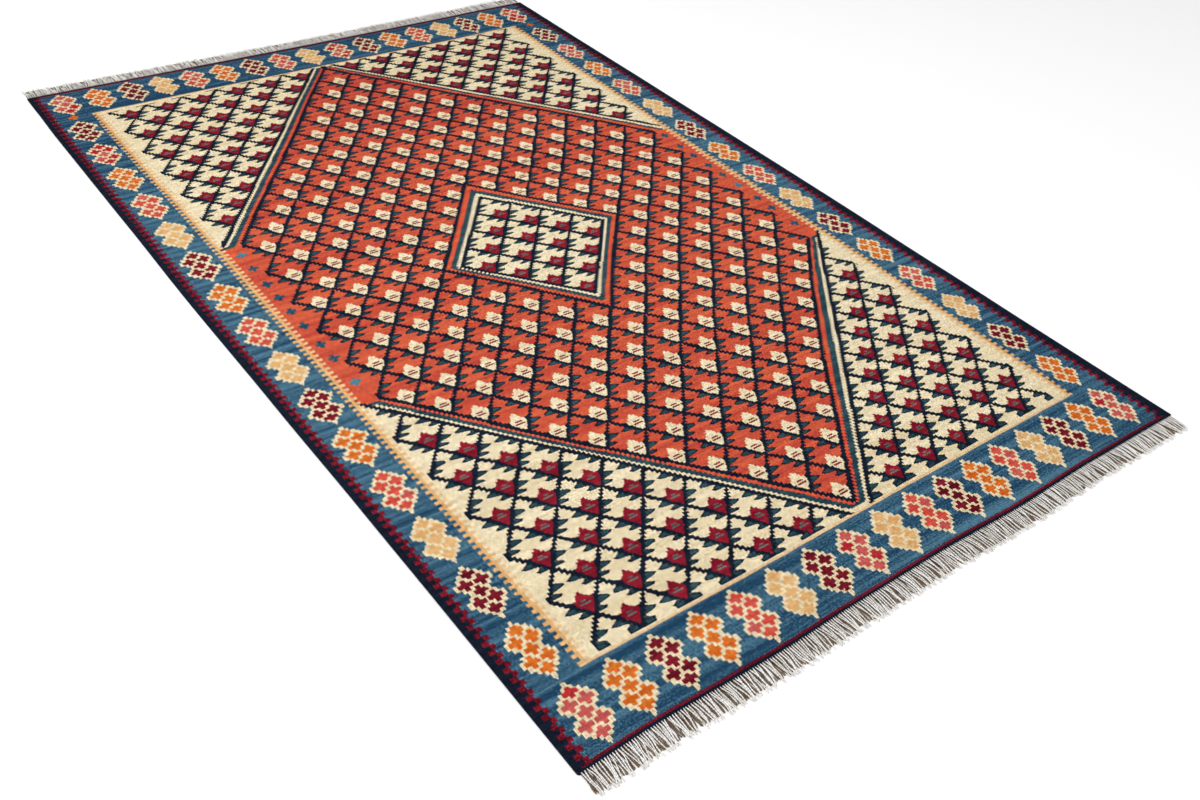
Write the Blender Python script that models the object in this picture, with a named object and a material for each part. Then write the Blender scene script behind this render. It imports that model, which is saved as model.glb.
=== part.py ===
# A flat-woven kilim rug lying flat: the woven cloth, and a comb of warp ends along each short edge.
# Metres, +Z up. X runs across the rug, Y along it, and the origin is under its middle.
import math

import bpy

WIDTH = 1.600                # the cloth at its two ends
LENGTH = 2.500               # the cloth, without its fringes
THICKNESS = 0.003
EDGE_ROUND = 0.0006          # the rim of the cloth is slightly rounded
CORNER_RADIUS = 0.005
CORNER_STEPS = 3             # straight pieces in each rounded corner
OUTLINE_STEP = 0.050         # distance between the outline's points

FRINGE_LENGTH = 0.050        # from the straight end line to the longest tip
FRINGE_THICKNESS = 0.0026
FRINGE_HEADING = 0.004       # the strip along the cloth that all strands start from
FRINGE_SIDE_MARGIN = 0.003   # the fringe starts this far in from each side of the cloth
BUNDLE_COUNT = 96            # strands lie in bundles, and each bundle is one tooth of the comb
BUNDLE_ROOT_SHARE = 0.78     # a bundle's width at its root, as a share of the spacing
BUNDLE_TIP_SHARE = 0.56
BUNDLE_LEAN = 0.0045         # the most that a bundle's tip leans sideways
BUNDLE_SHORTFALL = 0.007     # the shortest bundle ends this far before the longest
GAP = 0.0003                 # between the cloth and each fringe

# How far the long sides stand out, by distance along the rug from its near end.
SIDE_BOWS = (
    {"along": 0.00, "left": 0.000, "right": 0.000},
    {"along": 0.38, "left": 0.000, "right": 0.001},
    {"along": 0.65, "left": 0.001, "right": 0.004},
    {"along": 1.00, "left": 0.004, "right": 0.007},
    {"along": 1.45, "left": 0.007, "right": 0.007},
    {"along": 1.75, "left": 0.005, "right": 0.005},
    {"along": 2.25, "left": 0.004, "right": 0.003},
    {"along": 2.42, "left": 0.001, "right": 0.002},
    {"along": 2.50, "left": 0.000, "right": 0.001},
)

# How far the two ends are drawn in, by distance across the rug from its left side.
END_DIPS = (
    {"across": 0.00, "near": 0.000, "far": 0.000},
    {"across": 0.16, "near": 0.004, "far": 0.001},
    {"across": 0.43, "near": 0.000, "far": 0.004},
    {"across": 0.60, "near": 0.004, "far": 0.006},
    {"across": 0.83, "near": 0.005, "far": 0.007},
    {"across": 1.07, "near": 0.000, "far": 0.005},
    {"across": 1.28, "near": 0.004, "far": 0.003},
    {"across": 1.46, "near": 0.002, "far": 0.000},
    {"across": 1.60, "near": 0.000, "far": 0.000},
)


def table_value(table, place, column, at):
    """Read a table's column at a place between two of its rows, eased at each row."""
    for low, high in zip(table, table[1:]):
        if at <= high[place]:
            share = max(0.0, (at - low[place]) / (high[place] - low[place]))
            eased = share * share * (3 - 2 * share)
            return low[column] + (high[column] - low[column]) * eased
    return table[-1][column]


def side_x(y, side):
    """The X of the left or right edge of the cloth at Y."""
    stand_out = table_value(SIDE_BOWS, "along", side, y + LENGTH / 2)
    return (WIDTH / 2 + stand_out) * (1 if side == "right" else -1)


def end_y(x, end):
    """The Y of the near or far edge of the cloth at X."""
    dip = table_value(END_DIPS, "across", end, x + WIDTH / 2)
    return (LENGTH / 2 - dip) * (1 if end == "far" else -1)


def steps_between(first, last, spacing):
    """Evenly spaced values from first to last, both included."""
    count = max(1, round(abs(last - first) / spacing))
    return [first + (last - first) * index / count for index in range(count + 1)]


def corner_points(centre_x, centre_y, start_degrees):
    """A quarter circle, counter-clockwise from its start angle."""
    angles = steps_between(0, math.pi / 2, math.pi / 2 / CORNER_STEPS)
    start = math.radians(start_degrees)
    return [(centre_x + CORNER_RADIUS * math.cos(start + angle),
             centre_y + CORNER_RADIUS * math.sin(start + angle)) for angle in angles]


def cloth_outline():
    """The cloth's edge, counter-clockwise from its near left corner."""
    across = steps_between(-WIDTH / 2 + CORNER_RADIUS, WIDTH / 2 - CORNER_RADIUS, OUTLINE_STEP)
    along = steps_between(-LENGTH / 2 + CORNER_RADIUS, LENGTH / 2 - CORNER_RADIUS, OUTLINE_STEP)
    corner_x, corner_y = across[-1], along[-1]
    points = corner_points(-corner_x, -corner_y, 180)
    points += [(x, end_y(x, "near")) for x in across[1:-1]]
    points += corner_points(corner_x, -corner_y, 270)
    points += [(side_x(y, "right"), y) for y in along[1:-1]]
    points += corner_points(corner_x, corner_y, 0)
    points += [(x, end_y(x, "far")) for x in reversed(across[1:-1])]
    points += corner_points(-corner_x, corner_y, 90)
    points += [(side_x(y, "left"), y) for y in reversed(along[1:-1])]
    return points


def bundle_lean(index):
    """How far a bundle's tip leans sideways: neighbours lean together, as brushed strands do."""
    return BUNDLE_LEAN * math.sin(index * 0.71) * math.cos(index * 0.23)


def bundle_shortfall(index):
    """How far a bundle ends before the longest one."""
    return BUNDLE_SHORTFALL * (0.5 - 0.5 * math.cos(index * 1.9)) * (0.6 + 0.4 * math.sin(index * 0.37))


def fringe_outline(end):
    """One comb: a heading that follows the cloth's end, and a tooth for each bundle of strands."""
    outward = 1 if end == "far" else -1
    first = -WIDTH / 2 + FRINGE_SIDE_MARGIN
    spacing = -2 * first / BUNDLE_COUNT
    tip_line = outward * (LENGTH / 2 + FRINGE_LENGTH)
    teeth = []
    for index in range(BUNDLE_COUNT):
        centre = first + spacing * (index + 0.5)
        lean = bundle_lean(index)
        heading = end_y(centre, end) + outward * (GAP + FRINGE_HEADING)
        tip = tip_line - outward * bundle_shortfall(index)
        middle = (heading + tip) / 2
        root_half = spacing * BUNDLE_ROOT_SHARE / 2
        tip_half = spacing * BUNDLE_TIP_SHARE / 2
        middle_half = (root_half + tip_half) / 2
        teeth += [(centre - root_half, heading),
                  (centre + lean * 0.35 - middle_half, middle),
                  (centre + lean - tip_half, tip),
                  (centre + lean + tip_half, tip),
                  (centre + lean * 0.35 + middle_half, middle),
                  (centre + root_half, heading)]
    root_ends = [-first - spacing * (1 - BUNDLE_ROOT_SHARE) / 2, first + spacing * (1 - BUNDLE_ROOT_SHARE) / 2]
    root_line = [(x, end_y(x, end) + outward * GAP) for x in steps_between(*root_ends, OUTLINE_STEP)]
    points = teeth + root_line
    return points if end == "near" else list(reversed(points))


def principled(name, colour, roughness):
    """A plain cloth material."""
    material = bpy.data.materials.new(name)
    material.use_nodes = True
    shader = material.node_tree.nodes["Principled BSDF"]
    shader.inputs["Base Color"].default_value = (*colour, 1)
    shader.inputs["Roughness"].default_value = roughness
    shader.inputs["Metallic"].default_value = 0
    return material


def flat_piece(name, outline, thickness, edge_round, material, collection):
    """A flat solid of the outline's shape, lying on the ground plane."""
    curve = bpy.data.curves.new(name, "CURVE")
    curve.dimensions = "2D"
    curve.fill_mode = "BOTH"
    curve.extrude = thickness / 2 - edge_round
    curve.bevel_depth = edge_round
    curve.bevel_resolution = 1
    curve.offset = -edge_round
    spline = curve.splines.new("POLY")
    spline.points.add(len(outline) - 1)
    for point, (x, y) in zip(spline.points, outline):
        point.co = (x, y, 0, 1)
    spline.use_cyclic_u = True
    piece = bpy.data.objects.new(name, curve)
    piece.location.z = thickness / 2
    curve.materials.append(material)
    collection.objects.link(piece)
    return piece


def clear_scene():
    for thing in list(bpy.data.objects):
        bpy.data.objects.remove(thing, do_unlink=True)


def build_rug():
    clear_scene()
    rug = bpy.data.collections.new("kilim_rug")
    bpy.context.scene.collection.children.link(rug)
    wool = principled("woven_wool", (0.40, 0.13, 0.07), 0.95)
    cotton = principled("cotton_warp", (0.72, 0.70, 0.66), 0.9)
    flat_piece("woven_cloth", cloth_outline(), THICKNESS, EDGE_ROUND, wool, rug)
    flat_piece("near_fringe", fringe_outline("near"), FRINGE_THICKNESS, 0, cotton, rug)
    flat_piece("far_fringe", fringe_outline("far"), FRINGE_THICKNESS, 0, cotton, rug)


build_rug()
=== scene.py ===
# Looks of the flat-woven kilim rug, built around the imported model.
import math

import bpy
from mathutils import Matrix, Vector


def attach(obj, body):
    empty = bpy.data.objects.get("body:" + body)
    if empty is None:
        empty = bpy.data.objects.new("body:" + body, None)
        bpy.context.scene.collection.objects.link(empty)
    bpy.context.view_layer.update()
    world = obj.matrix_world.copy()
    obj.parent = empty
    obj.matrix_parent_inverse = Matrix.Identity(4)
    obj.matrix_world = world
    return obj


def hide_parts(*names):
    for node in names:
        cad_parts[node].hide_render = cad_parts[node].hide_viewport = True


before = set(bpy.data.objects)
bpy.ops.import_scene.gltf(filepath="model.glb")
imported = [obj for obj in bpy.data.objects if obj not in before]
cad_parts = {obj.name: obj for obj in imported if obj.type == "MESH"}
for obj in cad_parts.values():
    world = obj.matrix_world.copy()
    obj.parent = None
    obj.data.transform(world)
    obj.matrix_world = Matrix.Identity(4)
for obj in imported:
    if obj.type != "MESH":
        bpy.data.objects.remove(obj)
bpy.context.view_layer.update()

# camera, floor and light

cameraView = {
    "lens": 36.5, "sensor": 36.0,    # mm
    "place": (-1.5173, -2.0162, 1.5806),   # standing eye height, off the near left corner
    "aim": (-0.2367, -0.5625, 0.0),
    "roll": 6.57,    # degrees, as the photo is held a little askew
    "clipEnd": 60.0,
}

studio = {
    "floorHalf": 14.0,
    "floorColour": (244, 243, 241), "floorRoughness": 0.85,
    "skyColour": (250, 251, 255),
    "skyStrength": 0.70,
    "lamps": [    # metres and watts
        {"place": (-2.3, 0.3, 4.0), "aim": (0.0, 0.0, 0.0), "size": 2.4, "watts": 134},
        {"place": (2.8, -1.6, 4.2), "aim": (0.0, -0.2, 0.0), "size": 3.5, "watts": 47},
    ],
}


def linear(rgb):
    # screen values 0-255 to the linear ones that nodes use, by the sRGB curve
    tones = [value / 255 for value in rgb]
    return tuple(t / 12.92 if t <= 0.04045 else ((t + 0.055) / 1.055) ** 2.4 for t in tones)


def lookingFrom(place, aim, roll=0.0):
    turn = (Vector(aim) - Vector(place)).to_track_quat("-Z", "Y").to_matrix().to_4x4()
    return Matrix.Translation(place) @ turn @ Matrix.Rotation(math.radians(roll), 4, "Z")


def addObject(name, data):
    thing = bpy.data.objects.new(name, data)
    bpy.context.scene.collection.objects.link(thing)
    return thing


def addCamera(view):
    data = bpy.data.cameras.new("photoCamera")
    data.lens = view["lens"]
    data.sensor_width = view["sensor"]
    data.clip_end = view["clipEnd"]
    camera = addObject("photoCamera", data)
    camera.matrix_world = lookingFrom(view["place"], view["aim"], view["roll"])
    bpy.context.scene.camera = camera


def newFinish(name):
    material = bpy.data.materials.new(name)
    material.use_nodes = True
    return material, material.node_tree.nodes["Principled BSDF"]


def addLamps(settings):
    for number, lamp in enumerate(settings["lamps"]):
        data = bpy.data.lights.new(f"softLamp{number}", "AREA")
        data.size = lamp["size"]
        data.energy = lamp["watts"]
        light = addObject(f"softLamp{number}", data)
        light.matrix_world = lookingFrom(lamp["place"], lamp["aim"])
    world = bpy.data.worlds.new("softSky")
    world.use_nodes = True
    sky = world.node_tree.nodes["Background"]
    sky.inputs["Color"].default_value = (*linear(settings["skyColour"]), 1)
    sky.inputs["Strength"].default_value = settings["skyStrength"]
    bpy.context.scene.world = world


def addFloor(settings):
    half = settings["floorHalf"]
    mesh = bpy.data.meshes.new("studioFloor")
    corners = [(-half, -half, 0), (half, -half, 0), (half, half, 0), (-half, half, 0)]
    mesh.from_pydata(corners, [], [(0, 1, 2, 3)])
    floor = addObject("studioFloor", mesh)
    finish, shader = newFinish("paleFloor")
    shader.inputs["Base Color"].default_value = (*linear(settings["floorColour"]), 1)
    shader.inputs["Roughness"].default_value = settings["floorRoughness"]
    mesh.materials.append(finish)


print("camera, floor and light")
addCamera(cameraView)
addLamps(studio)
addFloor(studio)
bpy.context.scene.view_settings.view_transform = "Standard"


# the shape of the cloth

rugCloth = {
    "width": 1.600, "length": 2.500, "thickness": 0.0030,
    "ribs": 500,    # warp ribs across the width
    "ribDepth": 0.0006,    # from the top of a rib to the groove beside it
    "rows": 43,    # rows of faces along the length
    "rimInset": 0.0007,    # how far the faces stop inside the rounded rim
    "endRow": 0.0040,    # a narrow row that keeps the rim's shading off the face
    "cornerRadius": 0.0060,
    "cornerPull": 0.9,    # under 1, so that the rim's points stay apart at a corner
    "bendReach": 0.150,    # how far the uneven edge still bends the pattern
    "lift": 0.0007,    # gentle waves where the cloth isn't quite flat on the floor
    "waves": [(5.1, 1.7, 0.0), (2.3, -4.3, 1.0), (3.0, 9.0, 0.0)],    # radians a metre by x, by y, start
}

sideBows = [   # along from the near end, and how far each side stands out
    (0.00, 0, 0), (0.38, 0, 0.001), (0.65, 0.001, 0.004),
    (1.00, 0.004, 0.007), (1.45, 0.007, 0.007), (1.75, 0.005, 0.005),
    (2.25, 0.004, 0.003), (2.42, 0.001, 0.002), (2.50, 0, 0.001),
]

endDips = [    # across from the left side, and how far each end is drawn in
    (0.00, 0, 0), (0.16, 0.004, 0.001), (0.43, 0, 0.004),
    (0.60, 0.004, 0.006), (0.83, 0.005, 0.007), (1.07, 0, 0.005),
    (1.28, 0.004, 0.003), (1.46, 0.002, 0), (1.60, 0, 0),
]


def eased(share):
    share = min(1.0, max(0.0, share))
    return share * share * (3 - 2 * share)


def readTable(table, column, at):
    for low, high in zip(table, table[1:]):
        if at <= high[0]:
            return low[column] + (high[column] - low[column]) * eased((at - low[0]) / (high[0] - low[0]))
    return table[-1][column]


def readBoth(table, at):
    return readTable(table, 1, at), readTable(table, 2, at)


def clothPlace(across, along, cloth, bows, dips):
    # where a point of the flat pattern lies on the floor
    width, length, reach = cloth["width"], cloth["length"], cloth["bendReach"]
    left, right = bows
    near, far = dips
    atLeft, atRight = 1 - eased(across / reach), 1 - eased((width - across) / reach)
    atNear, atFar = 1 - eased(along / reach), 1 - eased((length - along) / reach)
    x = across - width / 2 - left * atLeft + right * atRight
    y = along - length / 2 + near * atNear - far * atFar
    fromSide, fromEnd = min(across, width - across), min(along, length - along)
    radius = cloth["cornerRadius"]
    if fromSide < radius and fromEnd < radius:
        drop = radius - math.sqrt(radius ** 2 - (radius - fromSide) ** 2)
        pull = drop * (1 - fromEnd / radius) * cloth["cornerPull"]
        y += pull if along < length / 2 else -pull
    return x, y


def clothLift(x, y, cloth):
    waves = [math.sin(x * byX + y * byY + start) for byX, byY, start in cloth["waves"]]
    return cloth["lift"] * (len(waves) + sum(waves)) / len(waves)


def clothMesh(cloth):
    # a thin closed sheet: ribbed face, ribbed underside, and one rounded rim round them
    width, length, inset = cloth["width"], cloth["length"], cloth["rimInset"]
    columns = cloth["ribs"] * 2 + 1
    endRow, inner = cloth["endRow"], length - 2 * cloth["endRow"]
    alongs = [0.0] + [endRow + inner * n / cloth["rows"] for n in range(cloth["rows"] + 1)] + [length]
    acrosses = [width * n / (columns - 1) for n in range(columns)]
    rows = len(alongs)
    dips = [readBoth(endDips, across) for across in acrosses]
    points, flat = [], []
    for upper in (True, False):
        for along in alongs:
            bows = readBoth(sideBows, along)
            for column, across in enumerate(acrosses):
                patternX = min(max(across, inset), width - inset)
                patternY = min(max(along, inset), length - inset)
                x, y = clothPlace(patternX, patternY, cloth, bows, dips[column])
                groove = cloth["ribDepth"] if column % 2 == 0 else 0.0
                z = cloth["thickness"] - groove if upper else groove
                points.append((x, y, z + clothLift(x, y, cloth)))
                flat.append((patternX, patternY))
    layer = columns * rows
    border = [(column, 0) for column in range(columns)]
    border += [(columns - 1, row) for row in range(1, rows)]
    border += [(column, rows - 1) for column in range(columns - 2, -1, -1)]
    border += [(0, row) for row in range(rows - 2, 0, -1)]
    for column, row in border:
        across, along = acrosses[column], alongs[row]
        bows = readBoth(sideBows, along)
        x, y = clothPlace(across, along, cloth, bows, dips[column])
        points.append((x, y, cloth["thickness"] / 2 + clothLift(x, y, cloth)))
        flat.append((across, along))
    faces = []
    for row in range(rows - 1):
        for column in range(columns - 1):
            low = row * columns + column
            face = (low, low + 1, low + columns + 1, low + columns)
            faces.append(face)
            faces.append(tuple(corner + layer for corner in reversed(face)))
    count = len(border)
    for number in range(count):
        following = (number + 1) % count
        here = border[number][1] * columns + border[number][0]
        there = border[following][1] * columns + border[following][0]
        rim, nextRim = 2 * layer + number, 2 * layer + following
        faces.append((rim, nextRim, there, here))
        faces.append((here + layer, there + layer, nextRim, rim))
    mesh = bpy.data.meshes.new("kilimCloth")
    mesh.from_pydata(points, [], faces)
    mesh.polygons.foreach_set("use_smooth", [True] * len(mesh.polygons))
    for edge in mesh.edges:    # each groove is a crease, so every rib is shaded round
        first, second = edge.vertices
        column = first % layer % columns
        alongWarp = second % layer % columns == column and max(first, second) < 2 * layer
        if alongWarp and column % 2 == 0:
            edge.use_edge_sharp = True
    weave = mesh.uv_layers.new(name="weaveMap")    # metres on the flat pattern
    bake = mesh.uv_layers.new(name="OFBake")
    corners = [0] * len(mesh.loops)
    mesh.loops.foreach_get("vertex_index", corners)
    weave.data.foreach_set("uv", [value for corner in corners for value in flat[corner]])
    bake.data.foreach_set("uv", [value for corner in corners
                                 for value in (flat[corner][0] / width, flat[corner][1] / length)])
    return mesh


# sums written as nodes

class nodeNumber:
    # a number in a node tree: plain sums with it add Math nodes

    def __init__(self, tree, socket):
        self.tree, self.socket = tree, socket

    def __abs__(self):
        return mathNode("ABSOLUTE", self)


def giveSign(sign, operation):
    # lets a sign such as + stand for a Math node, also where the plain number comes first
    setattr(nodeNumber, f"__{sign}__", lambda self, other: mathNode(operation, self, other))
    if hasattr(float, f"__r{sign}__"):
        setattr(nodeNumber, f"__r{sign}__", lambda self, other: mathNode(operation, other, self))


for sign, operation in (("add", "ADD"), ("sub", "SUBTRACT"), ("mul", "MULTIPLY"), ("truediv", "DIVIDE"),
                        ("mod", "FLOORED_MODULO"), ("lt", "LESS_THAN"), ("gt", "GREATER_THAN")):
    giveSign(sign, operation)


def mathNode(operation, *values):
    tree = next(value.tree for value in values if isinstance(value, nodeNumber))
    node = tree.nodes.new("ShaderNodeMath")
    node.operation = operation
    for slot, value in zip(node.inputs, values):
        plug(tree, slot, value)
    return nodeNumber(tree, node.outputs[0])


def plug(tree, slot, value):
    if isinstance(value, nodeNumber):
        tree.links.new(value.socket, slot)
    elif isinstance(value, bpy.types.NodeSocket):
        tree.links.new(value, slot)
    else:
        slot.default_value = value


def addNode(tree, kind, *values, **named):
    # a node with its first inputs filled in, or the named ones
    node = tree.nodes.new(kind)
    for slot, value in zip(node.inputs, values):
        plug(tree, slot, value)
    for name, value in named.items():
        plug(tree, node.inputs[name.replace("_", " ")], value)
    return node


def floorOf(value):
    return mathNode("FLOOR", value)


def larger(first, second):
    return mathNode("MAXIMUM", first, second)


def smaller(first, second):
    return mathNode("MINIMUM", first, second)


def pick(test, yes, no):
    # yes where the test is 1, no where it is 0
    node = test.tree.nodes.new("ShaderNodeMix")
    for place, value in ((0, test), (2, no), (3, yes)):
        plug(test.tree, node.inputs[place], value)
    return nodeNumber(test.tree, node.outputs[0])


def vectorOf(x, y, z=0.0):
    return addNode(x.tree, "ShaderNodeCombineXYZ", x, y, z).outputs[0]


def noiseAt(x, y, detail=2.0, seed=0.0):
    # smooth noise 0-1, and its colour socket for two more readings
    node = addNode(x.tree, "ShaderNodeTexNoise", Vector=vectorOf(x, y, seed), Scale=1.0, Detail=detail)
    return nodeNumber(x.tree, node.outputs["Fac"]), node.outputs["Color"]


def parts(tree, whole, kind="XYZ"):
    # the numbers that a vector, or a colour, is made of
    node = addNode(tree, "ShaderNodeSeparate" + kind, whole)
    return [nodeNumber(tree, output) for output in node.outputs]


def channels(tree, colour):
    return parts(tree, colour, "Color")


def lookUp(value, stops, smooth=False):
    # a table read by value 0-1, each row holding until the next: rows are (start, colour)
    node = value.tree.nodes.new("ShaderNodeValToRGB")
    ramp = node.color_ramp
    ramp.interpolation = "LINEAR" if smooth else "CONSTANT"
    ramp.elements.remove(ramp.elements[1])
    ramp.elements[0].position = stops[0][0]
    ramp.elements[0].color = (*stops[0][1], 1)
    for start, colour in stops[1:]:
        ramp.elements.new(start).color = (*colour, 1)
    value.tree.links.new(value.socket, node.inputs[0])
    return node.outputs["Color"]


# a ramp holds numbers from 0 to 1, so a table's are divided by this and multiplied back
rowScale, listScale = 64.0, 16.0


def readRows(value, rows, span, scale=rowScale):
    # rows of (start, a, b, c) in the same unit as value, which runs from 0 to span
    stops = [(start / span, [entry / scale for entry in (*entries, 0, 0)[:3]]) for start, *entries in rows]
    return [reading * scale for reading in channels(value.tree, lookUp(value / span, stops))]


def readList(index, entries):
    # the entry that stands at index in a list
    count = len(entries)
    stops = [(place / count, (entry / listScale,) * 3) for place, entry in enumerate(entries)]
    return channels(index.tree, lookUp((index + 0.5) / count, stops))[0] * listScale


def bendOver(value, points, span, top, base=0.0):
    # a line through points, from value 0-span to levels between base and top
    node = value.tree.nodes.new("ShaderNodeFloatCurve")
    curve = node.mapping.curves[0]
    places = [(at / span, (level - base) / (top - base)) for at, level in points]
    curve.points[0].location, curve.points[1].location = places[0], places[-1]
    for place in places[1:-1]:
        curve.points.new(*place)
    for point in curve.points:
        point.handle_type = "VECTOR"
    node.mapping.update()
    value.tree.links.new((value / span).socket, node.inputs["Value"])
    return nodeNumber(value.tree, node.outputs[0]) * (top - base) + base


def slack(x, y, rows):
    # rows of (along, mm moved at the left, in the middle, at the right), eased between them
    most = rugPlan["mostSlack"]
    left, middle, right = [bendOver(y, [(row[0], row[column]) for row in rows], rugPlan["long"], most, -most)
                           for column in (1, 2, 3)]
    share = (x - rugPlan["wide"] / 2) / rugPlan["slackSide"]
    return middle + share * ((right - left) * 0.5 + share * ((left + right) * 0.5 - middle))


# the woven pattern: every length here is in mm on the flat rug

yarn = {    # number, and the two dye lots that streak through each other, as seen on screen
    "navy": (0, (12, 20, 34), (25, 35, 51)), "blue": (1, (28, 64, 92), (82, 124, 144)),
    "maroon": (2, (92, 10, 28), (142, 32, 46)), "cream": (3, (228, 209, 168), (246, 232, 197)),
    "red": (4, (188, 67, 54), (221, 103, 67)), "orangeRed": (5, (208, 72, 54), (226, 106, 62)),
    "teal": (6, (27, 55, 68), (56, 88, 94)), "orange": (7, (204, 92, 24), (228, 126, 46)),
    "tan": (8, (218, 164, 100), (236, 190, 130)), "pink": (9, (190, 78, 76), (214, 108, 98)),
    "coral": (10, (200, 66, 56), (220, 96, 78)), "cherry": (11, (168, 32, 42), (196, 54, 54)),
    "greyTeal": (12, (66, 92, 90), (100, 128, 122)), "skyBlue": (13, (50, 106, 130), (76, 136, 156)),
    "deepBlue": (14, (24, 64, 84), (44, 90, 108)), "flowerRed": (15, (118, 14, 34), (158, 34, 48)),
    "brown": (16, (112, 22, 34), (146, 44, 50)), "paleTan": (17, (224, 180, 128), (239, 204, 158)),
    "oatmeal": (18, (222, 202, 160), (240, 225, 189)),
}

number = {name: row[0] for name, row in yarn.items()}

rugPlan = {
    "wide": 1600.0, "long": 2500.0, "ribPitch": 3.2, "perMetre": 1000,
    "mostSlack": 30.0,    # no row or border is woven further than this from its plan
    "slackSide": 724,    # from the middle to where the slack at the left and right was read
    "lineWide": 5.0,    # the tan line across each end of the field
    "combStart": 121.0, "combCore": 129.5, "combSecond": 136.0, "fieldStart": 145.5,
    "combPitch": 16.2,
    "zigzagCentre": 23.4, "zigzagSwing": 4.3, "zigzagHalf": 5.3, "zigzagPitch": 21.3,
    "rightZigzag": 8.8, "rightTaper": 0.0014,    # the right one stands further in, less so at the far end
    "endNavy": 7.8, "endMaroon": 12.8,
}

endLines = {    # across, and the outer edge of the tan line
    "near": [(0, 160.5), (300, 159), (470, 158.5), (800, 161), (1180, 163.5), (1600, 164)],
    "far": [(0, 2344.5), (300, 2344), (800, 2343), (1180, 2340), (1450, 2344.5), (1600, 2345)],
    "nearRange": (200.0, 100.0), "farRange": (2400.0, 2300.0),
}


def crossShape(dx, dy, reach, tall, arm):
    # a plus sign: reach is half its width, tall half its height, arm half a bar's thickness
    bar = (dx < reach) * (dy < arm)
    post = (dx < arm) * (dy < tall)
    return larger(bar, post)


lozengeRows = {    # place along the edge against the count of lozenges from its start
    "mostCount": 20.0,
    "near": {"places": [(0, 0), (33.5, 0), (436, 4.5), (899, 9.5), (1162, 12.5), (1555, 17), (1600, 17)],
             "order": "P O M O C T M P T C M O C T M O P".split()},
    "far": {"places": [(0, 0), (30, 0), (76, 0.5), (168, 1.5), (260, 2.5), (343, 3.5), (614, 6.5), (788, 8.5),
                       (884, 9.5), (1160, 12.5), (1251.5, 13.5), (1338, 14.5), (1562, 17), (1600, 17)],
            "order": "P O M T C O M C T P M O C T M O P".split()},
    "left": {"places": [(0, 0), (158, 0), (384, 1.5), (817, 4.5), (1383, 8.5), (1681, 10.5), (1825, 11.5),
                        (1980, 12.5), (2253, 14.5), (2323, 15), (2500, 15)],
             "order": "O M T C O M T C O M T C O P M".split()},
    "right": {"places": [(0, 0), (168, 0), (379, 1.5), (657, 3.5), (1372, 8.5), (1671, 10.5), (1823, 11.5),
                         (1966, 12.5), (2244, 14.5), (2314, 15), (2500, 15)],
              "order": "O M T C O M T C O M T C O P M".split()},
    "endPitch": 90.5, "sidePitch": 143.0, "fromEdge": 77.0,
    "nearCentre": (85.0, 0.004), "farCentre": (2422.5, -0.0035),    # at the left side, and its slant
    "squeeze": {"near": (1.0, 1.04), "far": (1.0, 1.09), "left": (1.04, 1.07), "right": (1.09, 1.11)},
    "spark": {"left": 2340.5, "right": 2331.0, "fromEdge": 75.0, "reach": 12.5, "tall": 12.0, "arm": 4.4},
}

borderInset = {    # how far the side borders are woven further in than planned
    "left": [(0, 2), (240, 1), (384, -2), (1834, -2), (1980, -5), (2260, -5), (2500, -1)],
    "right": [(0, 13), (240, 12), (600, 11), (814, 8), (1384, 6.5), (1684, 2), (1834, 0), (2260, 0),
              (2500, 6)],
}

lozengeYarn = {"O": "orange", "M": "maroon", "T": "tan", "C": "coral", "P": "pink"}

lozengeShape = {
    "halfWidths": [    # from the middle up or down, and half the width there
        (0, 21.2), (6, 29.6), (15, 36.8), (31, 29.6), (42, 21.2), (50.5, 12.9), (59, 4.9), (68, 0),
    ],
    "span": 72.0,
    "spikeHalf": 3.0, "spikeFrom": 66.0, "spikeTo": 73.0,
    "crossReach": 13.5, "crossTall": 14.0, "crossArm": 5.5,
    "pairAcross": 16.3, "pairUp": 23.4, "topUp": 45.6, "topTall": 11.8,
}

# crosses draw from a noise far enough apart that neighbours get unlike yarns
crossMixing = {"row": 3.7, "rightOne": 1.9, "lozenge": 7.1, "sideStep": 0.7, "sideStart": 20,
               "across": 13.17, "along": 3.1, "swapOver": 0.54}


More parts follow.
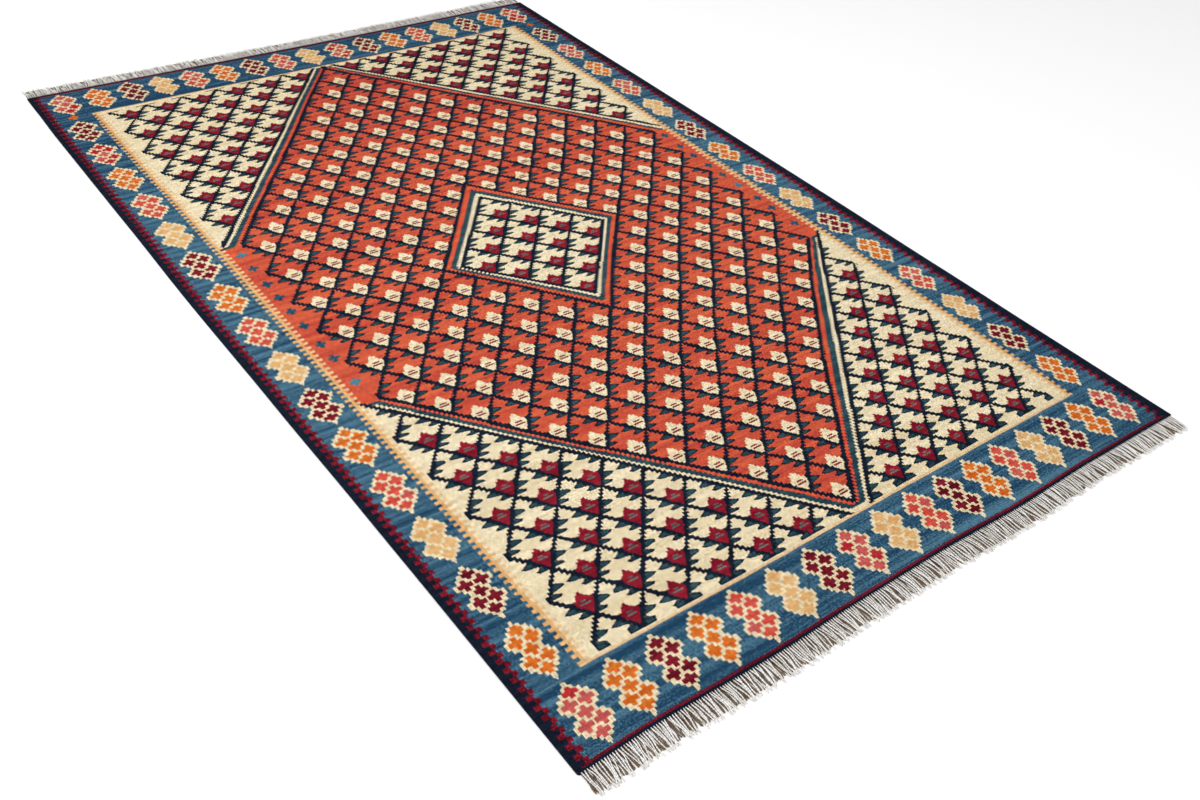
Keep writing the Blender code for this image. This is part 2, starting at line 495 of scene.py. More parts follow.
def lozengeCode(x, y, side, inEnd, isFar, isRight):
    rows, form, mixing = lozengeRows, lozengeShape, crossMixing

    def rowReading(name, at, span):
        phase = bendOver(at, rows[name]["places"], span, rows["mostCount"])
        index = floorOf(phase)
        yarns = readList(index, [number[lozengeYarn[key]] for key in rows[name]["order"]])
        return phase - index - 0.5, index, yarns

    near, far = rowReading("near", x, rugPlan["wide"]), rowReading("far", x, rugPlan["wide"])
    left, right = rowReading("left", y, rugPlan["long"]), rowReading("right", y, rugPlan["long"])
    endPlace, endIndex, endYarn = [pick(isFar, *pair) for pair in zip(far, near)]
    sidePlace, sideIndex, sideYarn = [pick(isRight, *pair) for pair in zip(right, left)]
    nearCentre, farCentre = [x * rows[name][1] + rows[name][0] for name in ("nearCentre", "farCentre")]
    squeezes = zip(*[rows["squeeze"][name] for name in ("far", "near", "right", "left")])
    narrower, shorter = [pick(inEnd, pick(isFar, a, b), pick(isRight, c, d)) for a, b, c, d in squeezes]
    dx = pick(inEnd, endPlace * rows["endPitch"], side - rows["fromEdge"]) * narrower
    dy = pick(inEnd, y - pick(isFar, farCentre, nearCentre), sidePlace * rows["sidePitch"]) * shorter
    index = pick(inEnd, endIndex, sideIndex * mixing["sideStep"] + mixing["sideStart"])
    crossYarn = pick(inEnd, endYarn, sideYarn)
    ax, ay = abs(dx), abs(dy)
    half = readRows(ay, form["halfWidths"], form["span"])[0]
    spike = (ax < form["spikeHalf"]) * (dy < -form["spikeFrom"]) * (dy > -form["spikeTo"])
    inside = larger(ax < half, spike)
    crosses = crossShape(ax, ay, form["crossReach"], form["crossTall"], form["crossArm"])
    pair = crossShape(abs(ax - form["pairAcross"]), abs(ay - form["pairUp"]),
                      form["crossReach"], form["crossTall"], form["crossArm"])
    top = crossShape(ax, abs(ay - form["topUp"]), form["crossReach"], form["topTall"], form["crossArm"])
    cross = floorOf(dy / form["pairUp"] + 0.5) * mixing["row"] + pair * (dx > 0) * mixing["rightOne"]
    draw = (cross + index * mixing["lozenge"] + isFar + isRight * 2) * mixing["across"]
    swapped = noiseAt(draw, cross * mixing["along"], detail=0.0)[0] > mixing["swapOver"]
    between = (number["pink"] + number["coral"]) / 2
    otherYarn = pick(crossYarn > between, number["pink"], number["cherry"])
    crossYarn = pick((abs(crossYarn - between) < 1) * swapped, otherYarn, crossYarn)
    crosses = larger(crosses, larger(pair, top))
    spark = rows["spark"]
    sparkUp = abs(y - pick(isRight, spark["right"], spark["left"]))
    sparkCross = crossShape(abs(side - spark["fromEdge"]), sparkUp,
                            spark["reach"], spark["tall"], spark["arm"])
    code = pick(inside, number["oatmeal"], number["blue"])
    code = pick(crosses, crossYarn, code)
    return pick(sparkCross, number["orange"], code)


def borderCode(x, y, edge, side, inEnd, isFar, isRight):
    plan = rugPlan
    code = lozengeCode(x, y, side, inEnd, isFar, isRight)
    swing = (((y % plan["zigzagPitch"]) > plan["zigzagPitch"] / 2) * 2 - 1) * plan["zigzagSwing"]
    zigzag = edge - swing - plan["zigzagCentre"] - isRight * (plan["rightZigzag"] - y * plan["rightTaper"])
    code = pick(zigzag < plan["zigzagHalf"], number["maroon"], code)
    fromEnd = smaller(y, plan["long"] - y)
    code = pick((fromEnd < plan["endMaroon"]) * (edge > plan["zigzagCentre"]), number["maroon"], code)
    code = pick(larger(zigzag < -plan["zigzagHalf"], fromEnd < plan["endNavy"]), number["navy"], code)
    return code


# One square of the lattice, half a diamond wide and half a diamond high, from one crossing of the
# navy lines to the next. The lines are given by half widths in stair steps, and the rising ones are
# a little finer. The rows of the tables after it start with mm down from the upper crossing.
latticeSquare = {
    "wide": 50.9, "high": 62.5, "steps": 8, "rising": 0.88, "falling": 1.05,
    "overLine": 0.4,    # stair steps that a flower reaches over its line
    "noFlower": 0.5,    # half diamonds before the last line where flowers stop
    "pastLast": 0.06,    # half diamonds past the last line where it ends
    "wellInside": -9.0,    # stands for that count in the middle diamond, which has no last line
}

leafRows = [    # leaf begins this far from the axis above it, and its teal middle this far
    (0, 64, 64), (29.5, 19, 64), (31.2, 15.6, 22), (33, 12.4, 18), (34.6, 9.2, 14.5), (36.2, 6, 11),
    (37.6, 3.8, 9), (41.2, 6, 13), (43, 9.4, 21), (44.6, 16, 64), (46, 25, 64), (47.4, 64, 64),
    (50.8, 31, 64), (52.8, 27.5, 34), (54.6, 24, 30), (56, 20.8, 27), (58.5, 20.8, 31), (60.2, 24, 64),
]

redFlowerRows = [    # half width of the flower, navy beside it, half width of the dashes on it
    (0, 0), (4.4, 3.2), (8.8, 8.4), (15.4, 12.2), (22.6, 19.2, 1),
    (27.4, 19.2, 1, 8.0), (31.6, 19.2, 1), (34.6, 14.4, 1, 11.0), (38.9, 14.4, 1), (41, 11.4, 1),
    (46.2, 7.6, 1), (50.4, 4.0, 1), (55.4, 0, 1),
]

creamFlowerRows = [
    (0, 0), (6.0, 3.6), (11.6, 8.4), (17.6, 12.6), (22.4, 19.0, 1),
    (26, 19.0, 1, 5.5), (29.2, 19.0, 1), (32.4, 17.0, 1, 10.5), (35.8, 14.4, 1), (41.4, 10.4, 1),
    (46.6, 6.8, 1), (51.4, 3.6, 1), (57.0, 0, 1),
]


def latticeCode(u, v, inCream, mirrored, bare):
    # u and v count half diamonds, u from the right where mirrored; bare is 1 where a flower is left out
    ground = pick(inCream, number["cream"], number["red"])
    flower = pick(inCream, number["flowerRed"], number["cream"])
    dash = pick(inCream, number["greyTeal"], number["brown"])
    square = latticeSquare
    row = floorOf(v)
    across = abs(mathNode("PINGPONG", u, 1.0) - row % 2)    # 0 below a crossing, 1 at the next one
    down = v - row
    offset = across * square["steps"] - floorOf(down * square["steps"] + 0.5)
    rising = (floorOf(u) + row + mirrored) % 2
    onLine = abs(offset) < pick(rising, square["rising"], square["falling"])
    acrossMm, downMm = across * square["wide"], down * square["high"]
    leafEdge, tealEdge = readRows(downMm, leafRows, square["high"])[:2]
    creamFlower = readRows(downMm, creamFlowerRows, square["high"])
    redFlower = readRows(downMm, redFlowerRows, square["high"])
    flowerHalf, fill, dashHalf = [pick(inCream, *pair) for pair in zip(creamFlower, redFlower)]
    fromFlower = square["wide"] - acrossMm
    leafSide = offset < 0
    flowerSide = (offset > 0) * (1 - bare)
    ownSide = (offset > -square["overLine"]) * (1 - bare)
    inFlower, inDash = ownSide * (fromFlower < flowerHalf), ownSide * (fromFlower < dashHalf)
    code = pick(leafSide * (acrossMm > leafEdge), number["navy"], ground)
    code = pick(leafSide * (acrossMm > tealEdge), number["teal"], code)
    code = pick(flowerSide * (fill > 0.5), number["navy"], code)
    code = pick(onLine, number["navy"], code)
    return pick(inDash, dash, pick(inFlower, flower, code))


redField = {
    "centreNear": 803.0, "centreDrift": 0.0061, "driftFrom": 191, "half": 50.9,
    "mostRows": 40.0,    # rows are (place along, half diamonds from the far point)
    "rows": [(0, 37.1), (191, 34), (563, 28), (752, 25), (930, 22), (1565, 12), (2204, 2), (2320, 0),
             (2500, 0)],
    "reach": 12.0, "bottom": 34.0, "holeRow": 17.0, "holeHalf": 5.0, "holeMargin": 20.0,
}

redSlackX = [    # place along, and mm moved across at the left, in the middle and at the right
    (0, -7, -4, -6), (350, -7, -6, -6), (550, -7, -13, -6), (700, -5, -17.5, -5), (1000, -3, -13, 2.5),
    (1250, -1, -7, 3), (1500, 5, -7, 13), (1650, 10, -5.5, 17), (1800, 12, -5, 13), (2050, 8, -4, 5),
    (2320, 6, -2, 3), (2500, 6, -2, 3),
]

redSlackY = [    # the same, moved along
    (0, -14, 0, 14), (200, -14, 0, 14), (350, -14, 4, 14), (550, -15, 3.5, 12), (700, -11, -4, 2),
    (850, -8, 4, -6), (1000, -12, 11, -8), (1125, -10, 10.5, -8), (1250, -9, 4, -7), (1375, -10.5, -7.5, -9),
    (1500, -3, -8, -13.5), (1650, 9, -5, -2), (1800, 11, -7.5, 18), (1950, 4, -11.5, 23.5),
    (2200, 0, -6, 18), (2320, -1, 1, 17), (2500, -1, 1, 17),
]

creamCorners = {    # first crossing and spacing across, the same along, and how far both rows slant
    "farLeft": (206.4, 50.2, 2264.8, 61.0, 0.0021, 0.0211),
    "farRight": (1381.9, 51.6, 2273.9, 61.6, -0.0127, -0.0114),
    "nearLeft": (210.6, 50.6, 235.7, 61.8, -0.0223, -0.0162),
    "nearRight": (1374.4, 49.4, 243.3, 59.8, -0.0029, 0.0146),
    "edge": 10.0,
}

centreDiamond = {"x": 787.6, "y": 1242.8, "wide": 51.9, "high": 60.4, "half": 4.0, "slant": 0.0133}

stripes = {
    "orangeRed": 0.35, "teal": 0.68, "holeTeal": 0.67,    # where each ends, as shares of the band's width
    "farRight": 0.045,    # orange-red ends this much later there, and teal this much sooner
    "redOut": 8.0, "redIn": 4.5, "holeOut": 5.0, "holeIn": 8.5,    # mm of navy along the last lines
    "creamOut": 6.8, "creamIn": 6.2,
    "farPoint": (2317.0, 0.042), "nearPoint": (190.0, 0.05),    # squeezed flat from here, this much a mm
    "farComb": (1550.4, 0.0061, 29.4), "nearComb": (929.5, 0.0085, 27.4),    # line, slant and full width
}

feet = {    # what the near corners' lattice stands on, in mm up from its foot line or out from the stem
    "overLine": 3.0, "belowCrossing": 0.1, "sole": 3.2, "top": 15.0, "rim": 2.4, "fall": 0.30,
    "stem": 4.4, "tealFrom": 8.5, "tealTo": 25.5, "wide": 29.0,
    "nearFoot": 24.0, "outerCut": 0.16,    # this low the outermost line ends sooner, in half diamonds
    "farTop": -1.06,    # nothing but cream beyond this count of rows at the far end
}

miniCrosses = {
    "fromEdge": 168.0, "reach": 11.8, "tall": 12.8, "arm": 4.6,
    "low": 940.0, "span": 640.0,
    "rows": [    # place on the left and on the right, and the wool of each
        (990, 995, "skyBlue", "deepBlue"), (1080, 1081, "deepBlue", "deepBlue"),
        (1135.5, 1136, "deepBlue", "deepBlue"), (1212.5, 1212, "deepBlue", "skyBlue"),
        (1273.5, 1275, "deepBlue", "teal"), (1334, 1333, "deepBlue", "deepBlue"),
        (1393, 1395, "deepBlue", "deepBlue"), (1464, 1454, "deepBlue", "deepBlue"),
        (1527, 1525.6, "skyBlue", "deepBlue"),
    ],
}


def stepped(value):
    # held level over each stair step of the lattice lines
    steps = latticeSquare["steps"]
    return floorOf(value * steps + 0.5) / steps


def fieldCode(x, y, side, nearLine, isFar, isRight):
    red, corner, diamond = redField, creamCorners, centreDiamond
    # the red hexagon, counted in half diamonds from its far point
    redX, redY = x - slack(x, y, redSlackX), y - slack(x, y, redSlackY)
    redU = (redX - red["centreNear"] + (redY - red["driftFrom"]) * red["centreDrift"]) / red["half"]
    redV = bendOver(redY, red["rows"], rugPlan["long"], red["mostRows"])
    spread = abs(redU)
    beyond = (spread - smaller(redV, red["bottom"] - redV)) * red["half"]
    redStep = stepped(redV)
    beyondStep = (spread - smaller(redStep, red["bottom"] - redStep)) * red["half"]
    hole = (red["holeHalf"] - spread - abs(redV - red["holeRow"])) * red["half"]
    holeStep = (red["holeHalf"] - spread - abs(redStep - red["holeRow"])) * red["half"]
    inHole = hole > -red["holeMargin"]
    outside = pick(inHole, hole, beyond)
    outsideStep = pick(inHole, holeStep, beyondStep)

    # the cream lattice of this corner, or of the middle
    places = zip(*[corner[name] for name in ("farRight", "farLeft", "nearRight", "nearLeft")])
    firstX, wide, firstY, high, slantX, slantY = [
        pick(isFar, pick(isRight, a, b), pick(isRight, c, d)) for a, b, c, d in places]
    towards = 1 - isRight * 2
    cornerU = (x - firstX - slantX * (y - firstY)) * towards / wide
    cornerV = (firstY + slantY * (x - firstX) - y) / high
    inward = isFar * 2 - 1
    fromMiddle = x - diamond["x"]
    creamU = pick(inHole, fromMiddle / diamond["wide"], cornerU)
    creamV = pick(inHole, (diamond["y"] + fromMiddle * diamond["slant"] - y) / diamond["high"], cornerV)

    def creamDepth(rowCount):
        inCorner = (corner["edge"] - creamU - rowCount * inward) * wide
        inDiamond = (diamond["half"] - abs(creamU) - abs(rowCount)) * diamond["wide"]
        return pick(inHole, inDiamond, inCorner)

    creamStep = creamDepth(stepped(creamV))
    inCream = creamStep > -stripes["creamOut"]
    inRed = outsideStep < pick(inHole, stripes["holeOut"], stripes["redOut"])

    # four stripes between the two lattices, squeezed flat at the far and near points and at the comb
    band = outsideStep / (outside - creamDepth(creamV))
    (farFrom, farRate), (nearFrom, nearRate) = stripes["farPoint"], stripes["nearPoint"]
    band = larger(band, pick(inHole, 0.0, larger((y - farFrom) * farRate, (nearFrom - y) * nearRate)))
    tilt = x - rugPlan["wide"] / 2
    (farY, farSlant, farWide), (nearY, nearSlant, nearWide) = stripes["farComb"], stripes["nearComb"]
    flatFar = (y - farY + tilt * farSlant) / farWide
    flatNear = (nearY + tilt * nearSlant - y) / nearWide
    band = smaller(band, pick(inHole, 1.0, pick(isFar, flatFar, flatNear)))
    uneven = isFar * isRight * (1 - inHole) * stripes["farRight"]
    tealEnd = pick(inHole, stripes["holeTeal"], stripes["teal"]) - uneven
    bandCode = pick(band < tealEnd, number["teal"], number["cream"])
    bandCode = pick(band < uneven + stripes["orangeRed"], number["orangeRed"], bandCode)

    # the lattice itself, in red or cream
    u = pick(inCream, creamU, redU)
    v = pick(inCream, creamV, redV)
    square = latticeSquare
    overCream = pick(inHole, square["wellInside"], -1.0 - creamU)
    over = pick(inCream, overCream, spread - red["reach"])   # half diamonds past the last line
    ground = pick(inCream, number["cream"], number["red"])
    code = latticeCode(u, v, inCream, inCream * isRight * (1 - inHole), over > -square["noFlower"])

    # the near corners' lattice stands on flat feet, and the far corners' one stops at a crossing
    inCorner = inCream * (1 - inHole)
    footUp = smaller((1 + feet["belowCrossing"] - creamV) * high, y - nearLine - feet["overLine"])
    fromStem = (1 - mathNode("PINGPONG", creamU, 1.0)) * wide
    footTop = feet["top"] - larger(fromStem - feet["stem"], 0.0) * feet["fall"]
    inFoot = (footUp < footTop) * larger(fromStem > feet["stem"], footUp < feet["sole"])
    sole = (fromStem < feet["wide"]) * (footUp > 0)
    footTeal = (fromStem > feet["tealFrom"]) * (fromStem < feet["tealTo"])
    footTeal = footTeal * (footUp > feet["sole"]) * (footUp < footTop - feet["rim"])
    footCode = pick(footTeal, number["teal"], pick(sole, number["navy"], number["cream"]))
    code = pick(inCorner * (1 - isFar) * inFoot, footCode, code)
    aboveTop = inCorner * isFar * (creamV < feet["farTop"])
    lowest = inCorner * (1 - isFar) * (footUp < feet["nearFoot"])
    endsAt = square["pastLast"] - lowest * feet["outerCut"]
    code = pick(larger(over > endsAt, aboveTop), ground, code)

    # the last line beside the stripes is thicker
    redIn = pick(inHole, stripes["holeIn"], stripes["redIn"])
    redLine = (outsideStep > 0 - redIn) * (over < square["pastLast"])
    creamLine = (creamStep < stripes["creamIn"]) * (1 - aboveTop)
    code = pick(pick(inCream, creamLine, redLine), number["navy"], code)

    # small crosses in the red beside the comb
    mini = miniCrosses
    starts = [mini["low"]] + [(a[0] + b[0]) / 2 for a, b in zip(mini["rows"], mini["rows"][1:])]
    fromLow = y - mini["low"]

    def miniReading(place):
        table = [(start - mini["low"], row[place] - mini["low"], number[row[place + 2]])
                 for start, row in zip(starts, mini["rows"])]
        return readRows(fromLow, table, mini["span"], mini["span"])

    miniCentre, miniYarn = [pick(isRight, *pair) for pair in zip(miniReading(1)[:2], miniReading(0))]
    cross = crossShape(abs(side - mini["fromEdge"]), abs(fromLow - miniCentre),
                       mini["reach"], mini["tall"], mini["arm"])
    code = pick(cross * (over > square["pastLast"]) * (1 - inCream), miniYarn, code)
    return pick(larger(inCream, inRed), code, bandCode)


def kilimCode(x, y):
    plan = rugPlan
    isRight, isFar = x > plan["wide"] / 2, y > plan["long"] / 2
    edge = smaller(x, plan["wide"] - x)
    most = plan["mostSlack"]
    insets = [bendOver(y, borderInset[name], plan["long"], most, -most) for name in ("right", "left")]
    side = edge - pick(isRight, *insets)
    nearLow = bendOver(x, endLines["near"], plan["wide"], *endLines["nearRange"])
    farHigh = bendOver(x, endLines["far"], plan["wide"], *endLines["farRange"])
    nearLine, farLine = nearLow + plan["lineWide"], farHigh - plan["lineWide"]
    inEnd = larger(y < nearLow, y > farLine)
    border = borderCode(x, y, edge, side, inEnd, isFar, isRight)
    field = fieldCode(x, y, side, nearLine, isFar, isRight)
    tooth = (y % plan["combPitch"]) < plan["combPitch"] / 2
    comb = pick(larger(tooth, side > plan["combCore"]), number["tan"], border)
    comb = pick(side > plan["combSecond"], pick(tooth, number["paleTan"], field), comb)
    code = pick(side < plan["fieldStart"], comb, field)
    code = pick(larger(y < nearLine, y > farLine), number["paleTan"], code)
    outside = larger(side < plan["combStart"], larger(y < nearLow, y > farHigh))
    return pick(outside, border, code)


# the wool of the cloth

woolFinish = {
    "roughness": 0.95, "specular": 0.06,
    "drift": 1.6,    # mm that the hand-woven pattern wanders
    "driftSize": 210.0,
    "jitter": 0.8, "jitterSize": 26.0,
    "tooth": 0.9,    # odd ribs change colour one weft later
    "weft": 1.15,    # mm between wefts
    "bump": 0.00035, "bumpStrength": 0.6,
    "fuzz": {"long": 0.9, "high": 0.5, "depth": 0.5},
    "dyeLot": {"long": 700.0, "high": 15.0, "strength": 3.3, "detail": 3.0, "seed": 7.0},    # streaks, mm
    "pass": {"long": 150.0, "high": 3.6, "strength": 1.6, "detail": 2.0, "seed": 11.0},
    "bead": {"across": 0.93, "high": 3.0, "strength": 2.0},    # each float over a rib
    # groove and groovePower set the painted shade that darkens the groove between ribs
    "beadLight": 0.80, "groove": 0.72, "groovePower": 2.6,
    "dyeDrift": [    # place along, and how much lighter the colours are drawn there: darker towards both ends, most at the far one
        (0, -0.17), (250, -0.16), (700, 0.0), (1250, 0.06), (1800, -0.02), (2200, -0.33), (2500, -0.38),
    ],
}


def mixColour(tree, share, first, second, kind="MIX"):
    node = tree.nodes.new("ShaderNodeMix")
    node.data_type = "RGBA"
    node.blend_type = kind
    for place, value in ((0, share), (6, first), (7, second)):
        plug(tree, node.inputs[place], value)
    return node.outputs[2]


def finishSurface(tree, shader, finish, colour, tone, height):
    # the colour darkened by tone, which includes painted shade, and fine relief of this height
    grey = addNode(tree, "ShaderNodeCombineColor", tone, tone, tone)
    bump = addNode(tree, "ShaderNodeBump", Height=height,
                   Strength=finish["bumpStrength"], Distance=finish["bump"])
    plug(tree, shader.inputs["Base Color"], mixColour(tree, 1.0, colour, grey.outputs[0], "MULTIPLY"))
    plug(tree, shader.inputs["Normal"], bump.outputs[0])
    plug(tree, shader.inputs["Roughness"], finish["roughness"])
    plug(tree, shader.inputs["Specular IOR Level"], finish["specular"])


def woolMaterial(finish):
    material, shader = newFinish("wovenWool")
    tree = material.node_tree
    flatMap = tree.nodes.new("ShaderNodeUVMap")
    flatMap.uv_map = "weaveMap"
    flatX, flatY = [metres * rugPlan["perMetre"] for metres in parts(tree, flatMap.outputs[0])[:2]]

    rib = floorOf(flatX / rugPlan["ribPitch"])
    ribX = (rib + 0.5) * rugPlan["ribPitch"]
    wide, fine = finish["driftSize"], finish["jitterSize"]
    wander = channels(tree, noiseAt(ribX / wide, flatY / wide, detail=1.0)[1])
    jitter = channels(tree, noiseAt(ribX / fine, flatY / fine, detail=0.0, seed=3.0)[1])
    x = ribX + (wander[0] - 0.5) * finish["drift"] * 2 + (jitter[0] - 0.5) * finish["jitter"] * 2
    y = flatY + (wander[1] - 0.5) * finish["drift"] * 2 + (jitter[1] - 0.5) * finish["jitter"] * 2
    y = y + (rib % 2) * finish["tooth"]
    code = kilimCode(x, y)

    table, count = sorted(yarn.values()), len(yarn)
    darkLot, lightLot = [lookUp((code + 0.5) / count, [(row[0] / count, linear(row[lot])) for row in table])
                         for lot in (1, 2)]
    share = 0.5
    for streak in (finish["dyeLot"], finish["pass"]):
        dye = noiseAt(flatX / streak["long"], flatY / streak["high"], streak["detail"], streak["seed"])[0]
        share = share + (dye - 0.5) * streak["strength"]
    bead, fuzz = finish["bead"], finish["fuzz"]
    beads = channels(tree, noiseAt(rib * bead["across"], flatY / bead["high"], detail=0.0, seed=5.0)[1])
    share = share + (beads[0] - 0.5) * bead["strength"]
    share = share + bendOver(flatY, finish["dyeDrift"], rugPlan["long"], 1.0, -1.0)
    shade = mixColour(tree, smaller(larger(share, 0.0), 1.0), darkLot, lightLot)
    groove = abs(flatX / rugPlan["ribPitch"] - rib - 0.5) * 2   # 0 on the rib, 1 in the groove
    tone = 1 + (beads[1] - 0.5) * finish["beadLight"]
    # painted shade: the colour darkens towards the groove between ribs
    tone = tone * (1 - mathNode("POWER", groove, finish["groovePower"]) * finish["groove"])

    # wefts lie over one rib and under the next
    weftPlace = (flatY / finish["weft"] + (rib % 2) * 0.5) % 1.0
    ridge = mathNode("SINE", weftPlace * math.pi) * (1 - groove * groove)
    fibres = noiseAt(flatX / fuzz["long"], flatY / fuzz["high"], detail=2.0, seed=2.0)[0]
    finishSurface(tree, shader, finish, shade, tone, ridge + fibres * fuzz["depth"])
    return material


print("cloth")
kilimCloth = addObject("kilimCloth", clothMesh(rugCloth))
kilimCloth.data.materials.append(woolMaterial(woolFinish))


# the cotton strands of the fringe

fringeStrands = {
    "strands": 290,    # on top, with two under each of them that are coloured dark as painted shade
    "steps": 10,    # points along a strand
    "width": 1.5940, "length": 0.0500, "radius": 0.00150, "turnPitch": 0.024,
    "group": 3.4, "pull": 0.32,    # strands that lie together, and how far they are drawn in
    "lean": 0.0050, "stray": 0.0036, "shortfall": 0.0085,
    "heap": 0.0013, "layer": 0.0021,    # the hump past the cloth's edge, and the upper layer's height
    "rootInside": 0.0015, "nearSeed": 4, "farSeed": 31,
}

strandInputs = ("Width", "Length", "Radius", "Turn Pitch", "Group", "Pull", "Lean", "Stray", "Shortfall",
                "Heap", "Layer", "Root Inside")

strandForm = {    # how one strand lies and is made: lengths in metres, turns in radians over its run
    "rootStray": 0.0006, "regroup": 0.9,    # strands by a group's side may lie with its neighbour
    "sway": 0.0026, "swayTurn": 3.1, "wave": 0.0012, "waveTurn": 7.5, "anyPhase": 6.28,
    "lowerShorter": 0.16, "lowerStart": 0.25,
    "humpTurn": 3.6, "humpEnd": 3.14, "leastHump": 0.1,
    "riseRoot": 0.45, "riseGain": 0.55, "riseTurn": 5.0, "riseEnd": 1.57, "riseLoss": 0.25,
    "clear": 1.04,    # radii from the floor up to a strand's middle
    "fullTurn": 6.283, "taper": 0.45, "taperPower": 12.0, "thinnest": 0.86, "thickest": 1.06,
    # the lower strands' tones are painted shade: dark brown for the shade in the gaps, lighter towards their
    # tips
    "upperTone": 0.40, "lowerTone": 0.08, "tipTone": 0.16,
    "sides": 6, "lobe": 0.10, "waist": 0.92,   # a section of two plies
}


def strandTree(material, form):
    # loose two-ply warp ends in two layers, lying together in small groups as they were brushed; the lower
    # layer is coloured as painted shade in the gaps
    tree = bpy.data.node_groups.new("strandTree", "GeometryNodeTree")
    sockets = tree.interface
    for name in ("Strands", "Steps", "Seed", *strandInputs):
        kind = "NodeSocketFloat" if name in strandInputs else "NodeSocketInt"
        sockets.new_socket(name, in_out="INPUT", socket_type=kind)
    sockets.new_socket("Geometry", in_out="OUTPUT", socket_type="NodeSocketGeometry")
    source = tree.nodes.new("NodeGroupInput")
    result = tree.nodes.new("NodeGroupOutput")

    def setting(name):
        return nodeNumber(tree, source.outputs[name])

    def add(kind, **named):
        return addNode(tree, kind, **named)

    def chance(index, low, high, offset):
        node = add("FunctionNodeRandomValue", ID=index, Seed=setting("Seed") + offset)
        node.inputs[2].default_value, node.inputs[3].default_value = low, high
        return nodeNumber(tree, node.outputs[1])

    def store(geometry, name, kind, value):
        node = add("GeometryNodeStoreNamedAttribute", Geometry=geometry, Name=name)
        node.data_type, node.domain = kind, "POINT"
        slot = next(slot for slot in node.inputs if slot.name == "Value" and slot.enabled)
        plug(tree, slot, value)
        return node.outputs[0]

    strands = setting("Strands")
    roots = add("GeometryNodeMeshLine", Count=strands * 3)
    line = add("GeometryNodeCurvePrimitiveLine")
    fine = add("GeometryNodeResampleCurve", Curve=line.outputs[0], Count=setting("Steps"))
    copies = add("GeometryNodeInstanceOnPoints", Points=roots.outputs[0], Instance=fine.outputs[0])
    loose = add("GeometryNodeRealizeInstances", Geometry=copies.outputs[0])

    index = nodeNumber(tree, add("GeometryNodeCurveOfPoint").outputs["Curve Index"])
    share = nodeNumber(tree, add("GeometryNodeSplineParameter").outputs["Factor"])
    lower = index > strands - 0.5
    upper = 1 - lower
    place = upper * (index + 0.5) + lower * ((index - strands) * 0.5 + form["lowerStart"])
    spacing = setting("Width") / (strands + 0.5)
    rootX = (place - strands * 0.5) * spacing + chance(index, -form["rootStray"], form["rootStray"], 1)
    bunch = floorOf((place + chance(index, -form["regroup"], form["regroup"], 2)) / setting("Group"))
    bunchX = ((bunch + 0.5) * setting("Group") - strands * 0.5) * spacing
    gathered = (bunchX - rootX) * setting("Pull")
    tipX = rootX + upper * (gathered + chance(bunch, -1.0, 1.0, 3) * setting("Lean"))
    tipX = tipX + chance(index, -1.0, 1.0, 4) * setting("Stray")
    bent = share * share * (3 - share * 2)
    sway = mathNode("SINE", share * form["swayTurn"]) * chance(index, -form["sway"], form["sway"], 5)
    phase = chance(index, 0.0, form["anyPhase"], 12)
    wave = mathNode("SINE", share * form["waveTurn"] + phase) * form["wave"] * share
    x = rootX + (tipX - rootX) * bent + sway + wave
    missing = chance(index, 0.0, 1.0, 6) * chance(index, 0.0, 1.0, 7) * setting("Shortfall")
    length = (setting("Length") - missing) * (1 - lower * form["lowerShorter"])
    y = setting("Root Inside") - share * length
    hump = mathNode("SINE", smaller(share * form["humpTurn"], form["humpEnd"]))
    hump = hump * chance(index, form["leastHump"], 1.0, 8)
    climb = mathNode("SINE", smaller(share * form["riseTurn"], form["riseEnd"]))
    rise = setting("Layer") * (form["riseRoot"] + form["riseGain"] * climb - share * form["riseLoss"])
    z = setting("Radius") * form["clear"] + upper * (rise + hump * setting("Heap"))
    laid = add("GeometryNodeSetPosition", Geometry=loose.outputs[0], Position=vectorOf(x, y, z))
    run = share * length
    twist = run * form["fullTurn"] / setting("Turn Pitch") + chance(index, 0.0, form["anyPhase"], 9)
    twisted = add("GeometryNodeSetCurveTilt", Curve=laid.outputs[0], Tilt=twist)
    thin = 1 - mathNode("POWER", share, form["taperPower"]) * form["taper"]
    thin = thin * chance(index, form["thinnest"], form["thickest"], 10)
    sized = add("GeometryNodeSetCurveRadius", Curve=twisted.outputs[0], Radius=thin)
    # lower strands take painted shade between the upper ones, lighter towards the tips; upper strands differ
    # at random
    paintedShade = chance(index, 0.0, form["lowerTone"], 13) + share * form["tipTone"]
    tone = upper * chance(index, form["upperTone"], 1.0, 11) + lower * paintedShade
    toned = store(sized.outputs[0], "strandTone", "FLOAT", tone)
    measured = store(toned, "plyRun", "FLOAT", run)

    # section of two plies side by side
    ring = add("GeometryNodeCurvePrimitiveCircle", Resolution=form["sides"], Radius=setting("Radius"))
    around = nodeNumber(tree, add("GeometryNodeInputIndex").outputs[0]) * (math.pi * 2 / form["sides"])
    lobes = mathNode("COSINE", around * 2) * form["lobe"] + form["waist"]
    scaled = add("ShaderNodeVectorMath")
    scaled.operation = "SCALE"
    plug(tree, scaled.inputs[0], add("GeometryNodeInputPosition").outputs[0])
    plug(tree, scaled.inputs["Scale"], lobes)
    section = add("GeometryNodeSetPosition", Geometry=ring.outputs[0], Position=scaled.outputs[0])
    turned = vectorOf(mathNode("COSINE", around), mathNode("SINE", around))
    marked = store(section.outputs[0], "plyRing", "FLOAT_VECTOR", turned)
    cords = add("GeometryNodeCurveToMesh", Curve=measured, Profile_Curve=marked, Fill_Caps=True)
    smooth = add("GeometryNodeSetShadeSmooth", Geometry=cords.outputs[0])
    whole = add("GeometryNodeRealizeInstances", Geometry=smooth.outputs[0])
    coloured = add("GeometryNodeSetMaterial", Geometry=whole.outputs[0], Material=material)
    tree.links.new(coloured.outputs[0], result.inputs[0])
    return tree


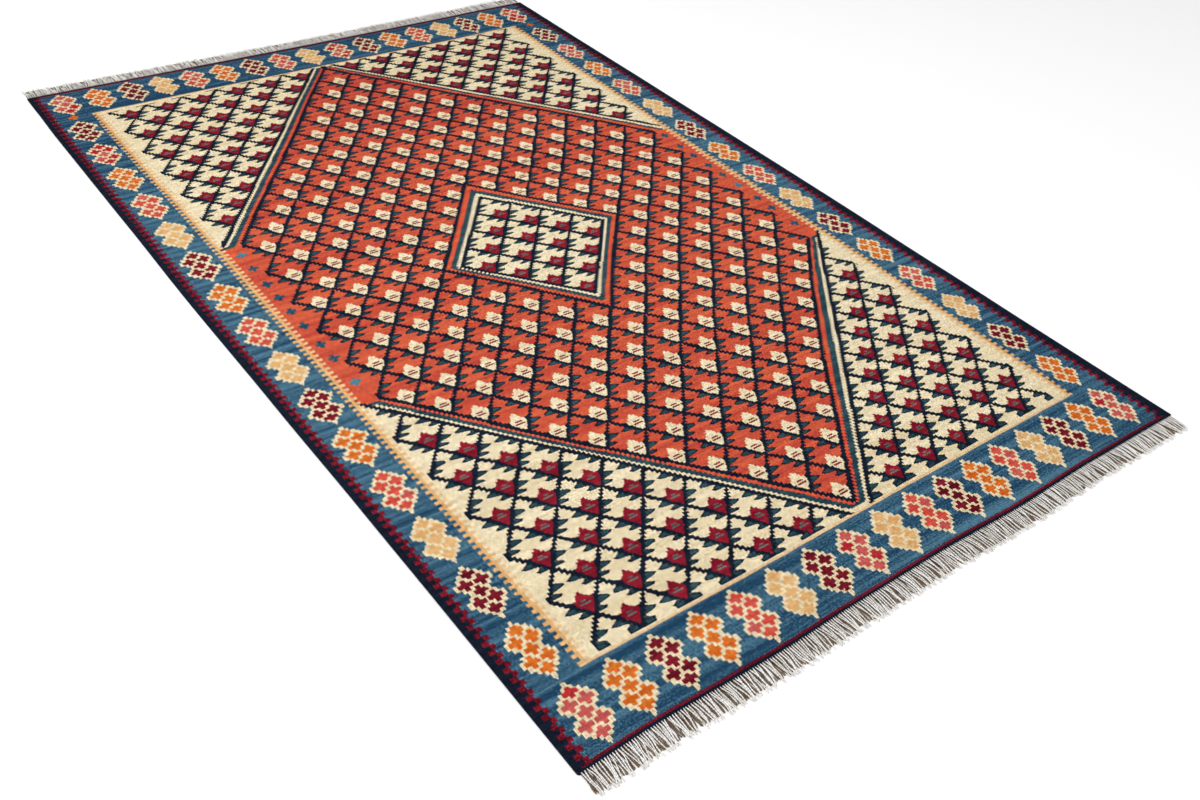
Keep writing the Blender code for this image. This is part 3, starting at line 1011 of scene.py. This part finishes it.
cottonFinish = {
    # tones up to 0.30 are the brown painted shade of the lower strands, the rest the cotton's own whites
    "tones": [(0.0, (62, 48, 38)), (0.30, (146, 126, 102)), (0.42, (222, 217, 208)), (1.0, (252, 250, 246))],
    "plyPitch": 0.0065,    # metres for one turn of the two plies
    "roughness": 0.9, "specular": 0.1, "bump": 0.0004, "bumpStrength": 0.6,
    "grime": (70, 90, 0.3),    # spots a metre across and along, and strength
    "fibre": (2600, 900, 0.4),
    "valley": 0.80,    # painted shade between the plies
}


def readAttribute(tree, name, output):
    node = tree.nodes.new("ShaderNodeAttribute")
    node.attribute_name = name
    return node.outputs[output]


def cottonMaterial(finish):
    material, shader = newFinish("cottonStrands")
    tree = material.node_tree
    x, y = parts(tree, tree.nodes.new("ShaderNodeTexCoord").outputs["Object"])[:2]
    strandTone = nodeNumber(tree, readAttribute(tree, "strandTone", "Fac"))
    across, along, strength = finish["grime"]
    grime = (noiseAt(x * across, y * along, detail=2.0)[0] - 0.5) * strength
    base = lookUp(strandTone + grime, [(at, linear(tone)) for at, tone in finish["tones"]], smooth=True)
    cosine, sine = parts(tree, readAttribute(tree, "plyRing", "Vector"))[:2]
    turn = mathNode("ARCTAN2", sine, cosine)
    run = nodeNumber(tree, readAttribute(tree, "plyRun", "Fac"))
    ply = abs(mathNode("SINE", turn + run * (math.pi * 2 / finish["plyPitch"])))    # 0 between the plies
    across, along, depth = finish["fibre"]
    fibre = noiseAt(x * across, y * along, detail=2.0, seed=4.0)[0]
    # painted shade in the crease between the plies
    tone = finish["valley"] + smaller(ply * 2, 1.0) * (1 - finish["valley"])
    finishSurface(tree, shader, finish, base, tone, ply + fibre * depth)
    return material


def makeFringe(name, tree, settings, seed, isFar):
    holder = addObject(name, bpy.data.meshes.new(name))
    maker = holder.modifiers.new("strands", "NODES")
    maker.node_group = tree
    for item in tree.interface.items_tree:
        if item.in_out == "INPUT":       # "Turn Pitch" is turnPitch in the settings
            key = item.name[0].lower() + item.name[1:].replace(" ", "")
            maker[item.identifier] = seed if key == "seed" else settings[key]
    holder.update_tag()
    depsgraph = bpy.context.evaluated_depsgraph_get()
    mesh = bpy.data.meshes.new_from_object(holder.evaluated_get(depsgraph), depsgraph=depsgraph)
    holder.modifiers.clear()
    holder.data = mesh
    mesh.name = name
    if isFar:
        mesh.transform(Matrix.Rotation(math.pi, 4, "Z"))
    half, wide = rugCloth["length"] / 2, rugCloth["width"]
    for point in mesh.vertices:
        across = min(wide, max(0.0, point.co.x + wide / 2))
        dip = readTable(endDips, 2 if isFar else 1, across)
        point.co.y += half - dip if isFar else -half + dip
    return holder


print("fringe")
strands = strandTree(cottonMaterial(cottonFinish), strandForm)
nearFringe = makeFringe("nearFringeStrands", strands, fringeStrands, fringeStrands["nearSeed"], False)
farFringe = makeFringe("farFringeStrands", strands, fringeStrands, fringeStrands["farSeed"], True)
print("triangles", [(piece.name, sum(len(face.vertices) - 2 for face in piece.data.polygons))
                    for piece in (kilimCloth, nearFringe, farFringe)])

# what each piece stands for

for piece, node, slot in ((kilimCloth, "woven_cloth", "woven_wool"),
                          (nearFringe, "near_fringe", "cotton_fringe"),
                          (farFringe, "far_fringe", "cotton_fringe")):
    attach(piece, "root")
    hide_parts(node)
